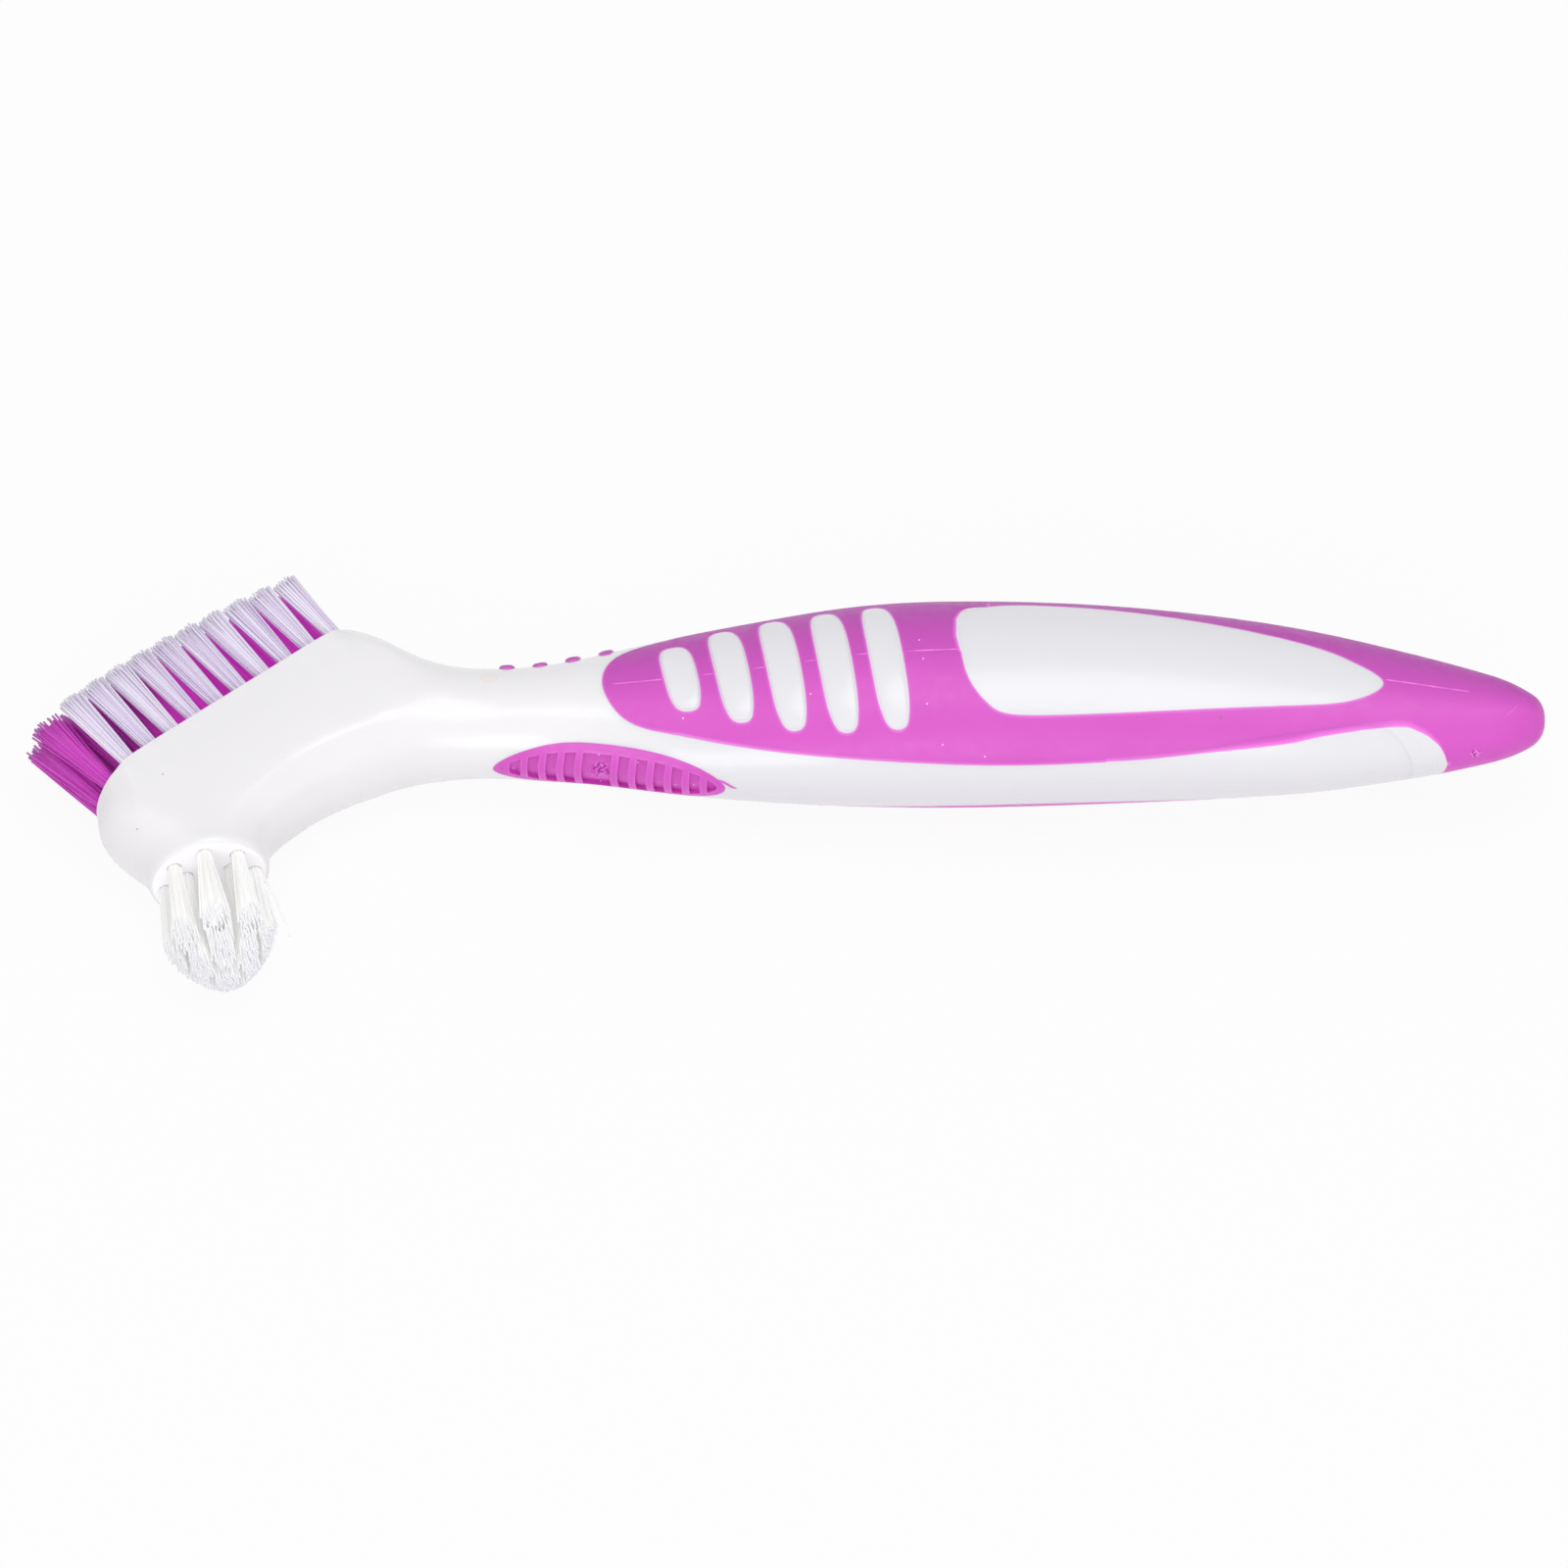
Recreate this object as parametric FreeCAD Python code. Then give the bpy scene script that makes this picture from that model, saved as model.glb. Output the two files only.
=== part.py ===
import FreeCAD
import Part
import math
import os

from FreeCAD import Placement, Rotation, Vector

# Denture brush, in millimetres. It is built with its length along X, head at low X and tail at high X,
# the large brush on the +Z side (the front) and the thumb pad on the -Z side (the back). At the end the
# whole brush is laid down as it comes to rest.

# Body
BODY_LENGTH = 169.5
NECK_START = 39.0          # where the head's bend ends and the straight neck begins
HANDLE_DEPTH = 25.8        # front to back, at the thickest
HANDLE_WIDTH = 21.2        # side to side, at the widest
BEND_RADIUS = 11.6         # inside of the bend between the neck and the small brush
TAIL_ROUNDING = 3.3
TAIL_FLAT = 0.3            # radius of the flat at the very end of the tail
SECTION_POINTS = 24
OBLONG_POINTS = 16
SQUARENESS = 0.67          # of the oblongs: 1 would make them ellipses, 0 square
PILLOW_SECTIONS = 9        # along a rib's crown or a neck bar
PILLOW_END = 12            # keeps a pillow's end sections from shrinking to a point, degrees
PILLOW_FULLNESS = 3.0      # of a pillow's ends: 2 would make them elliptic, more makes them blunter

# Head
HEAD_WIDTH = 14.1
FACE_LENGTH = 40.6         # large brush face, toe to heel
FACE_TILT = 38.3           # slope of the large face against the body's length, degrees
TOE_HEIGHT = -13.6         # height of the large face's toe end
HEEL_ROUNDING = 1.1        # how far the outside falls short of the large face's heel corner
HEEL_BLEND = 0.37          # share of the rise from the neck to the heel that is reached halfway
SMALL_FACE_DIAMETER = 14.3
SMALL_FACE_TILT = 10.0     # slope of the small face, degrees
SMALL_FACE_ANGLE = 90 + SMALL_FACE_TILT
SMALL_FACE_ROUNDING = 0.7

# Rubbery overmoulding
GRIP_THICKNESS = 1.45
RIB_CROWN = 0.35           # how far the white ribs stand above the grip
RIB_INSET = 0.15           # white margin between a rib's crown and the grip
RIB_END_MARGIN = 1.0       # the same at a rib's ends, degrees round the section
RIB_WIDTH = 3.95
RIB_PITCH = 5.98
FIRST_RIB = 68.3           # middle of the first rib
RIB_SLANT = 3.0            # how far a rib slants back over a quarter turn of the section
PAD_START = 46.3
PAD_LENGTH = 27.2
PAD_WIDTH = 7.9
PAD_THICKNESS = 1.5
PAD_RIM = 1.0
PAD_FLOOR_DEPTH = 0.6
PAD_RIB_PITCH = 2.1
PAD_RIB_WIDTH = 0.87
PAD_RIB_BOW = 0.5          # how far a pad rib bows towards the head at its middle
PAD_RIBS_AHEAD = 5         # ribs on the head side of the pad's gate
PAD_RIBS_BEHIND = 6
PAD_GATE = 58.8            # place of the pad's gate boss
PAD_GATE_LENGTH = 2.0
PAD_GATE_WIDTH = 1.1
BAR_COUNT = 4
BAR_PITCH = 3.87
BAR_WIDTH = 2.1
BAR_REACH = 46.0           # how far a bar reaches either side of the front's middle line, degrees
BAR_HEIGHT = 0.45
BAR_DEPTH = 0.8            # how deep a bar is set into the neck
BAR_TO_GRIP = 7.2865

# Tufts
LARGE_HOLE_DIAMETER = 1.9
SMALL_HOLE_DIAMETER = 1.7
HOLE_DEPTH = 4.5
TUFT_CLEARANCE = 0.02
LARGE_TRIM = 11.65         # large brush filaments above the face, where they are longest
LONGEST_PLACE = 12.0       # distance from the toe at which they are
HEEL_SHORTENING = 1.9      # how much shorter they are cut towards the heel
SMALL_TRIM_CENTRE = 15.4
SMALL_TRIM_EDGE = 10.6
ROW_SPACING = 2.75
OUTER_ROW = 5.5
SIDE_TUFTS = 10
INNER_TUFTS = 11
MIDDLE_TUFTS = 12
SIDE_INSET = 5.0           # first tuft of a row from the toe
INNER_INSET = 2.3
MIDDLE_INSET = 1.6
HEEL_INSET = 5.3           # last tuft of every row from the heel
TOE_SIDE = 3.2             # first tuft of the inner rows from the middle, so that the toe is round
SPLAY = 0.06
TIP_FILL = 0.495           # half a tuft's tip as a share of its pitch
TUFT_CORNERS = 12
TUFT_FLUTING = 0.88
OUTER_RING_RADIUS = 5.3
OUTER_RING_TUFTS = 8
OUTER_RING_START = 7       # place of the ring's first tuft, degrees round the ring
INNER_RING_RADIUS = 3.05
INNER_RING_TUFTS = 6
INNER_RING_START = 35
SMALL_TIP_RADIAL = 1.0     # half of a small tuft's tip, outward from the brush's middle
SMALL_TIP_ROUND = 0.45     # and round it, as a share of its pitch
ANCHOR_THICKNESS = 0.25
ANCHOR_HEIGHT = 1.6

# Rest: on its far side, on both brush heads and the side of the handle
LYING_ROLL = -88.69
LYING_PITCH = -1.93

# Handle sections: station (0 at the neck's start, 1 at the tail's end), rise of the section's centre,
# half depth and half width. The last three are shares of the handle's depth and width.
HANDLE_SECTIONS = [
    (0.00, -0.010, 0.284, 0.324),
    (0.045, -0.020, 0.257, 0.289),
    (0.09, -0.020, 0.265, 0.296),
    (0.15, 0.000, 0.315, 0.313),
    (0.207, 0.020, 0.381, 0.335),
    (0.295, 0.049, 0.453, 0.395),
    (0.384, 0.080, 0.493, 0.467),
    (0.493, 0.092, 0.500, 0.500),
    (0.607, 0.090, 0.480, 0.482),
    (0.719, 0.070, 0.440, 0.428),
    (0.791, 0.049, 0.399, 0.374),
    (0.854, 0.031, 0.336, 0.320),
    (0.909, 0.016, 0.272, 0.264),
    (0.939, 0.010, 0.230, 0.230),
    (0.967, 0.004, 0.182, 0.192),
]
TAIL_TURNS = [90, 76, 60, 44, 28]      # angles round the tail's edge at which a section lies

# Head bend: angle of a ray from the bend's pivot, and the bend's inside there as a share of BEND_RADIUS.
HEAD_INSIDE = [(0, 1.0), (14, 0.975), (28, 0.975), (45, 1.03), (59, 1.163), (73, 1.327), (81, 1.465),
               (87, 1.564), (92.5, 1.614), (100, 1.628)]
COLLAR_TURNS = [0, 35, 65, 90]         # angles round the small face's edge at which a section lies
# Below the toe: angle of a ray, and how far the outside still stands out beyond the small brush's collar,
# as a share of what it does at the toe.
CHIN = [(82, 1.0), (87, 0.86), (92, 0.42), (96.5, 0.04), (100, 0.0)]

# Head end of the grip on each side, as (station, angle up from the side's middle line in degrees).
TONGUE_OUTLINE = [(0.213, 53.5), (0.194, 49.4), (0.177, 42.5), (0.163, 30.4), (0.156, 17.4), (0.154, -0.6),
                  (0.160, -16.1), (0.172, -29.9), (0.194, -39.1), (0.227, -44.7)]
# Leaf-shaped window on each side, in the same measures.
WINDOW_OUTLINE = [(0.471, 16.6), (0.480, 31.5), (0.517, 41.2), (0.562, 42.0), (0.640, 38.0), (0.772, 25.4),
                  (0.830, 11.5), (0.854, -4.2), (0.827, -21.0), (0.772, -27.8), (0.660, -35.3),
                  (0.540, -39.2), (0.500, -32.5), (0.479, -12.0)]
# White strip along the back, as (station, angle either side of the back's middle line in degrees).
STRIP_OUTLINE = [(0.227, 45.3), (0.27, 38.8), (0.40, 25.6), (0.517, 20.6), (0.60, 21.5), (0.66, 25.5),
                 (0.72, 34.5), (0.811, 47.5), (0.845, 49.0), (0.864, 42.0), (0.877, 22.0)]
STRIP_TIP = 0.8805
# Notch at the head end of the grip on the front, in the same measures about the front's middle line.
NOTCH_OUTLINE = [(0.213, 36.5), (0.230, 20.0)]
NOTCH_TIP = 0.236
# White ribs ahead of the window: upper and lower end as angles from the side's middle line.
RIB_SPANS = [(32.0, -26.5), (44.0, -36.0), (46.0, -43.5), (44.0, -46.5), (43.5, -46.0)]
# Thumb pad: share of its length, and half width there as a share of the widest.
PAD_OUTLINE = [(0.0, 0.0), (0.07, 0.47), (0.25, 0.90), (0.47, 1.0), (0.72, 0.93), (0.91, 0.60), (1.0, 0.0)]


def handle_x(station):
    return NECK_START + station * (BODY_LENGTH - NECK_START)


def station_at(x):
    return (x - NECK_START) / (BODY_LENGTH - NECK_START)


def handle_section(station):
    """Centre height, half depth and half width at a station, between the listed sections."""
    rows = HANDLE_SECTIONS
    place = min(max(station, rows[0][0]), rows[-1][0])
    for low, high in zip(rows, rows[1:]):
        if place <= high[0]:
            break
    share = (place - low[0]) / (high[0] - low[0])
    rise, depth, width = [a + (b - a) * share for a, b in zip(low[1:], high[1:])]
    return rise * HANDLE_DEPTH, depth * HANDLE_DEPTH, width * HANDLE_WIDTH


def between(table, place):
    """Second column of a table at a place between its rows."""
    for low, high in zip(table, table[1:]):
        if place <= high[0]:
            break
    return low[1] + (high[1] - low[1]) * (place - low[0]) / (high[0] - low[0])


def spin(angle):
    """Cosine and sine of an angle in degrees."""
    return math.cos(math.radians(angle)), math.sin(math.radians(angle))


def closed_spline(points):
    """Smooth closed curve through points spaced evenly in parameter, so that all sections share knots."""
    curve = Part.BSplineCurve()
    steps = [float(i) for i in range(len(points) + 1)]
    curve.interpolate(Points=points, PeriodicFlag=True, Parameters=steps)
    return curve


def skin(sections):
    """Solid whose side runs smoothly through the sections in turn, closed by its first and last section."""
    rings = [closed_spline(points) for points in sections]
    ring_poles = [ring.getPoles() for ring in rings]
    steps = [0.0]
    for low, high in zip(sections, sections[1:]):
        gaps = [(b - a).Length for a, b in zip(low, high)]
        steps.append(steps[-1] + sum(gaps) / len(gaps))
    columns = []
    for column in zip(*ring_poles):
        rail = Part.BSplineCurve()
        rail.interpolate(Points=list(column), PeriodicFlag=False, Parameters=steps)
        columns.append(rail)
    surface = Part.BSplineSurface()
    surface.buildFromPolesMultsKnots([rail.getPoles() for rail in columns], rings[0].getMultiplicities(),
                                     columns[0].getMultiplicities(), rings[0].getKnots(),
                                     columns[0].getKnots(), True, False, rings[0].Degree, columns[0].Degree)
    ends = [Part.Face(Part.Wire(ring.toShape())) for ring in (rings[0], rings[-1])]
    shell = Part.makeShell([surface.toShape()] + ends)
    shell.sewShape()
    return Part.makeSolid(shell)


def section(centre, outward, half_length, end_length, half_width):
    """Points of an oval section: its length lies along outward, its width along Y, with elliptic ends."""
    points = []
    for i in range(SECTION_POINTS):
        cosine, sine = spin(360 * i / SECTION_POINTS)
        straight = half_length - end_length
        side = 0 if abs(cosine) < 1e-6 else math.copysign(1, cosine)
        along = straight * side + end_length * cosine
        points.append(centre + outward * along + Vector(0, half_width * sine, 0))
    return points


def handle_sections(growth):
    """Handle sections from the tail's rounded end to the neck, grown or shrunk all round."""
    sections = []
    for turn in TAIL_TURNS:
        cosine, sine = spin(turn)
        centre = Vector(BODY_LENGTH - TAIL_ROUNDING + (TAIL_ROUNDING + growth) * sine, 0, 0)
        radius = TAIL_FLAT + (TAIL_ROUNDING + growth) * cosine
        sections.append(section(centre, Vector(0, 0, 1), radius, radius, radius))
    for row in reversed(HANDLE_SECTIONS):
        rise, depth, width = handle_section(row[0])
        centre = Vector(handle_x(row[0]), 0, rise)
        sections.append(section(centre, Vector(0, 0, 1), depth + growth, depth + growth, width + growth))
    return sections


def handle_body(growth):
    """Handle and neck, grown or shrunk all round."""
    return skin(handle_sections(growth))


# Large brush face: its toe and heel ends, its direction from toe to heel, and its outward normal.
TILT_COSINE, TILT_SINE = spin(FACE_TILT)
TOE = Vector(0, 0, TOE_HEIGHT)
FACE_ALONG = Vector(TILT_COSINE, 0, TILT_SINE)
FACE_NORMAL = Vector(-TILT_SINE, 0, TILT_COSINE)
HEEL = TOE + FACE_ALONG * FACE_LENGTH

# Pivot of the head's bend, below the neck.
NECK_RISE, NECK_DEPTH, NECK_WIDTH = handle_section(0)
PIVOT = Vector(NECK_START, 0, NECK_RISE - NECK_DEPTH - BEND_RADIUS)


def ray(angle):
    cosine, sine = spin(angle)
    return Vector(-sine, 0, cosine)


SMALL_FACE_NORMAL = Vector(spin(SMALL_FACE_TILT)[1], 0, -spin(SMALL_FACE_TILT)[0])


def ray_angle(point):
    return math.degrees(math.atan2(PIVOT.x - point.x, point.z - PIVOT.z))


COLLAR_INSIDE = BEND_RADIUS * HEAD_INSIDE[-1][1]
SMALL_FACE_CENTRE = PIVOT + ray(SMALL_FACE_ANGLE) * (COLLAR_INSIDE + SMALL_FACE_DIAMETER / 2)


def head_outside(angle):
    """Distance from the pivot to the head's outside. Past the large face it runs on, so that the cut
    along the face leaves a round-ended oval."""
    neck_reach = BEND_RADIUS + 2 * NECK_DEPTH
    if angle < ray_angle(HEEL):
        return neck_reach + ((HEEL - PIVOT).Length - HEEL_ROUNDING - neck_reach) * HEEL_BLEND
    toe_angle = ray_angle(TOE)
    toe_reach = (TOE - PIVOT).Length
    collar_reach = COLLAR_INSIDE + SMALL_FACE_DIAMETER
    if angle > toe_angle:
        first = CHIN[0][0]
        last = CHIN[-1][0]
        place = first + (last - first) * (angle - toe_angle) / (SMALL_FACE_ANGLE - toe_angle)
        return collar_reach + (toe_reach - collar_reach) * between(CHIN, place)
    reach = (TOE - PIVOT).dot(FACE_NORMAL) / ray(angle).dot(FACE_NORMAL)
    crossing = PIVOT + ray(angle) * reach
    from_toe = (crossing - TOE).dot(FACE_ALONG)
    return reach + min(from_toe, FACE_LENGTH - from_toe - HEEL_ROUNDING, HEAD_WIDTH / 2)


def head_section(angle):
    inside = BEND_RADIUS * between(HEAD_INSIDE, angle)
    outside = head_outside(angle)
    half_length = (outside - inside) / 2
    heel_share = min(angle / ray_angle(HEEL), 1)
    half_width = NECK_WIDTH + (HEAD_WIDTH / 2 - NECK_WIDTH) * heel_share
    end_length = min(half_length, HEAD_WIDTH / 2)
    centre = PIVOT + ray(angle) * (inside + half_length)
    return section(centre, ray(angle), half_length, end_length, half_width)


def head_sections():
    """Sections of the head from the neck round the bend to the small face's soft edge."""
    heel = ray_angle(HEEL)
    toe = ray_angle(TOE)
    angles = [heel / 2]
    angles += [heel + (toe - heel) * share for share in (0, 0.1, 0.22, 0.38, 0.55, 0.71, 0.84, 0.92, 1)]
    angles += [toe + (SMALL_FACE_ANGLE - toe) * share for share in (0.28, 0.56, 0.76)]
    sections = [head_section(angle) for angle in angles]
    for turn in COLLAR_TURNS:
        cosine, sine = spin(turn)
        centre = SMALL_FACE_CENTRE - SMALL_FACE_NORMAL * (SMALL_FACE_ROUNDING * (1 - sine))
        radius = SMALL_FACE_DIAMETER / 2 - SMALL_FACE_ROUNDING * (1 - cosine)
        sections.append(section(centre, ray(SMALL_FACE_ANGLE), radius, radius, radius))
    return sections


def slab_beyond(origin, normal):
    """Large block on the outer side of a plane."""
    block = Part.makeBox(4 * HEAD_WIDTH, 4 * HEAD_WIDTH, 2 * HEAD_WIDTH,
                         Vector(-2 * HEAD_WIDTH, -2 * HEAD_WIDTH, 0))
    block.Placement = Placement(origin, Rotation(Vector(0, 0, 1), normal))
    return block


def brush_body():
    """The whole moulding's outside: handle, neck and head, cut flat along the large brush face."""
    solid = skin(handle_sections(0) + head_sections())
    return solid.cut(slab_beyond((TOE + HEEL) / 2, FACE_NORMAL))


def on_side(outline):
    """Outline points on the side of the handle, seen along Y, in a plane clear of it."""
    points = []
    for station, angle in outline:
        rise, depth, width = handle_section(station)
        points.append(Vector(handle_x(station), -HANDLE_WIDTH, rise + depth * spin(angle)[1]))
    return points


def across(outline, tip):
    """Symmetrical outline points on the front or back of the handle, seen along Z."""
    points = []
    for station, angle in outline:
        points.append(Vector(handle_x(station), handle_section(station)[2] * spin(angle)[1], 0))
    other_side = [Vector(point.x, -point.y, 0) for point in reversed(points)]
    return points + [Vector(handle_x(tip), 0, 0)] + other_side


def spline_edge(points):
    curve = Part.BSplineCurve()
    curve.interpolate(points)
    return curve.toShape()


def prism(edges, direction):
    return Part.Face(Part.Wire(edges)).extrude(direction)


def closed_prism(points, direction):
    return prism([closed_spline(points).toShape()], direction)


ACROSS_BODY = Vector(0, 2 * HANDLE_WIDTH, 0)
TO_FRONT = Vector(0, 0, HANDLE_DEPTH)
TO_BACK = Vector(0, 0, -HANDLE_DEPTH)


def tongue_cutter():
    """Everything on the head side of the grip's rounded tongues."""
    curve = on_side(TONGUE_OUTLINE)
    plane = curve[0].y
    corners = [Vector(curve[-1].x, plane, -HANDLE_DEPTH), Vector(NECK_START, plane, -HANDLE_DEPTH),
               Vector(NECK_START, plane, HANDLE_DEPTH), Vector(curve[0].x, plane, HANDLE_DEPTH)]
    border = Part.makePolygon([curve[-1]] + corners + [curve[0]])
    return prism([spline_edge(curve)] + border.Edges, ACROSS_BODY)


def notch_cutter(outline, tip, direction):
    """Tongue of white that runs along the front or back from the head side to its round tip."""
    curve = across(outline, tip)
    start = NECK_START
    corners = [Vector(start, curve[-1].y, 0), Vector(start, curve[0].y, 0)]
    border = Part.makePolygon([curve[-1]] + corners + [curve[0]])
    return prism([spline_edge(curve)] + border.Edges, direction)


def oblong(half_length, half_width):
    """Round-cornered oblong about the origin, as pairs of offsets."""
    offsets = []
    for i in range(OBLONG_POINTS):
        cosine, sine = spin(360 * i / OBLONG_POINTS)
        offsets.append((half_length * math.copysign(abs(cosine) ** SQUARENESS, cosine),
                        half_width * math.copysign(abs(sine) ** SQUARENESS, sine)))
    return offsets


def rib_place(index, angle):
    """Middle of a rib at an angle up from the side's middle line."""
    return FIRST_RIB + RIB_PITCH * index - RIB_SLANT * angle / 90


def rib_prism(index):
    """Slot in the grip for a white rib, as a prism through both sides: a slanting oblong."""
    top, bottom = RIB_SPANS[index]
    points = []
    for offset, lift in oblong(RIB_WIDTH / 2, (top - bottom) / 2):
        angle = (top + bottom) / 2 + lift
        x = rib_place(index, angle) + offset
        rise, depth, width = handle_section(station_at(x))
        points.append(Vector(x, -HANDLE_WIDTH, rise + depth * spin(angle)[1]))
    return closed_prism(points, ACROSS_BODY)


def on_surface(x, angle):
    """Point on the handle's surface, at an angle up from its near side."""
    rise, depth, width = handle_section(station_at(x))
    cosine, sine = spin(angle)
    return Vector(x, -width * cosine, rise + depth * sine)


def pillow(middle_x, angles, half_width, below, above):
    """Rounded bar that lies on the handle's surface along an arc of its section. Its ends taper in."""
    sections = []
    for i in range(PILLOW_SECTIONS):
        share = -spin(PILLOW_END + (180 - 2 * PILLOW_END) * i / (PILLOW_SECTIONS - 1))[0]
        fullness = (1 - abs(share) ** PILLOW_FULLNESS) ** (1 / PILLOW_FULLNESS)
        angle = (angles[0] + angles[1]) / 2 + (angles[0] - angles[1]) / 2 * share
        x = middle_x(angle)
        foot = on_surface(x, angle)
        along = on_surface(x + half_width, angle) - on_surface(x - half_width, angle)
        along.normalize()
        outward = along.cross(on_surface(x, angle + 1) - on_surface(x, angle - 1))
        outward.normalize()
        centre = foot + outward * (above - below) / 2
        sections.append([centre + along * offset + outward * lift for offset, lift in
                         oblong(half_width * fullness, (above + below) / 2 * fullness)])
    return skin(sections)


def grip_room():
    """Space round the handle's inner core that the grip's rubber fills, out past its outside."""
    start = handle_x(TONGUE_OUTLINE[5][0]) - GRIP_THICKNESS
    zone = Part.makeBox(BODY_LENGTH, 2 * HANDLE_WIDTH, 2 * HANDLE_DEPTH,
                        Vector(start, -HANDLE_WIDTH, -HANDLE_DEPTH))
    white = [tongue_cutter(), notch_cutter(NOTCH_OUTLINE, NOTCH_TIP, TO_FRONT),
             notch_cutter(STRIP_OUTLINE, STRIP_TIP, TO_BACK),
             closed_prism(on_side(WINDOW_OUTLINE), ACROSS_BODY)]
    white.extend(rib_prism(index) for index in range(len(RIB_SPANS)))
    return zone.cut([handle_body(-GRIP_THICKNESS)] + white)


def rib_crowns():
    """Domed tops of the white ribs, standing a little above the grip, on both sides."""
    crowns = []
    for index, (top, bottom) in enumerate(RIB_SPANS):
        crown = pillow(lambda angle: rib_place(index, angle), (top - RIB_END_MARGIN, bottom + RIB_END_MARGIN),
                       RIB_WIDTH / 2 - RIB_INSET, RIB_CROWN, RIB_CROWN)
        crowns.append(crown)
        crowns.append(crown.mirror(Vector(0, 0, 0), Vector(0, 1, 0)))
    return crowns


def pad_prism(inset):
    """Outline of the thumb pad on the back of the neck, as a prism."""
    near = [Vector(PAD_START + inset + share * (PAD_LENGTH - 2 * inset), half * (PAD_WIDTH / 2 - inset), 0)
            for share, half in PAD_OUTLINE]
    far = [Vector(point.x, -point.y, 0) for point in reversed(near[1:-1])]
    return closed_prism(near + far, TO_BACK)


def pad_rib(x):
    """Curved cross rib of the thumb pad, bowed towards the head."""
    half = PAD_RIB_WIDTH / 2
    reach = PAD_WIDTH / 2
    front = Part.Arc(Vector(x - half, -reach, 0), Vector(x - half - PAD_RIB_BOW, 0, 0),
                     Vector(x - half, reach, 0)).toShape()
    back = Part.Arc(Vector(x + half, reach, 0), Vector(x + half - PAD_RIB_BOW, 0, 0),
                    Vector(x + half, -reach, 0)).toShape()
    ends = [Part.makeLine(Vector(x - half, reach, 0), Vector(x + half, reach, 0)),
            Part.makeLine(Vector(x + half, -reach, 0), Vector(x - half, -reach, 0))]
    return prism([front, ends[0], back, ends[1]], TO_BACK)


def pad_room():
    return pad_prism(0).cut(handle_body(-PAD_THICKNESS))


def thumb_pad(body, room):
    kept = [closed_prism([Vector(PAD_GATE + along, over, 0)
                          for along, over in oblong(PAD_GATE_LENGTH / 2, PAD_GATE_WIDTH / 2)], TO_BACK)]
    for step in range(-PAD_RIBS_AHEAD, PAD_RIBS_BEHIND + 1):
        if step != 0:
            kept.append(pad_rib(PAD_GATE + PAD_RIB_PITCH * step))
    grooves = pad_prism(PAD_RIM).cut(kept + [handle_body(-PAD_FLOOR_DEPTH)])
    return body.common(room).cut(grooves)


def neck_bar(index):
    """Cross bar over the front of the neck, set a little way into it."""
    x = handle_x(TONGUE_OUTLINE[0][0]) - BAR_TO_GRIP - BAR_PITCH * (BAR_COUNT - 1 - index)
    return pillow(lambda angle: x, (90 + BAR_REACH, 90 - BAR_REACH), BAR_WIDTH / 2, BAR_DEPTH, BAR_HEIGHT)


def hole(place, normal, diameter):
    return Part.makeCylinder(diameter / 2, HOLE_DEPTH, place - normal * HOLE_DEPTH, normal)


def ring(centre, along, over, half_along, half_over):
    """Corners of a bundle's outline: filaments make it a fluted oval."""
    corners = []
    for i in range(TUFT_CORNERS):
        cosine, sine = spin(360 * i / TUFT_CORNERS)
        flute = 1 if i % 2 == 0 else TUFT_FLUTING
        corners.append(centre + along * (cosine * half_along * flute) + over * (sine * half_over * flute))
    return corners


def faceted(rings):
    """Solid with flat faces through rings of corners, closed at both ends."""
    faces = [Part.Face(Part.makePolygon(corners + corners[:1])) for corners in (rings[0], rings[-1])]
    for low, high in zip(rings, rings[1:]):
        for i in range(len(low)):
            following = (i + 1) % len(low)
            for corners in ([low[i], low[following], high[i]], [low[following], high[following], high[i]]):
                faces.append(Part.Face(Part.makePolygon(corners + corners[:1])))
    shell = Part.makeShell(faces)
    shell.sewShape()
    return Part.makeSolid(shell)


def anchor(place, normal, over, width):
    """Thin metal strip that stands on the floor of a tuft's hole."""
    strip = Part.makeBox(width, ANCHOR_THICKNESS, ANCHOR_HEIGHT, Vector(-width / 2, -ANCHOR_THICKNESS / 2, 0))
    turn = Rotation(over, normal.cross(over), normal)
    strip.Placement = Placement(place - normal * HOLE_DEPTH, turn)
    return strip


def tuft(place, normal, along, diameter, tip, half_along, half_over, tip_along, tip_normal):
    """Bundle of filaments, folded round its anchor in the hole and spreading above the face."""
    over = normal.cross(along)
    radius = diameter / 2 - TUFT_CLEARANCE
    rings = [ring(place - normal * HOLE_DEPTH, along, over, radius, radius),
             ring(place, along, over, radius, radius),
             ring(tip, tip_along, tip_normal.cross(tip_along), half_along, half_over)]
    return faceted(rings)


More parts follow.
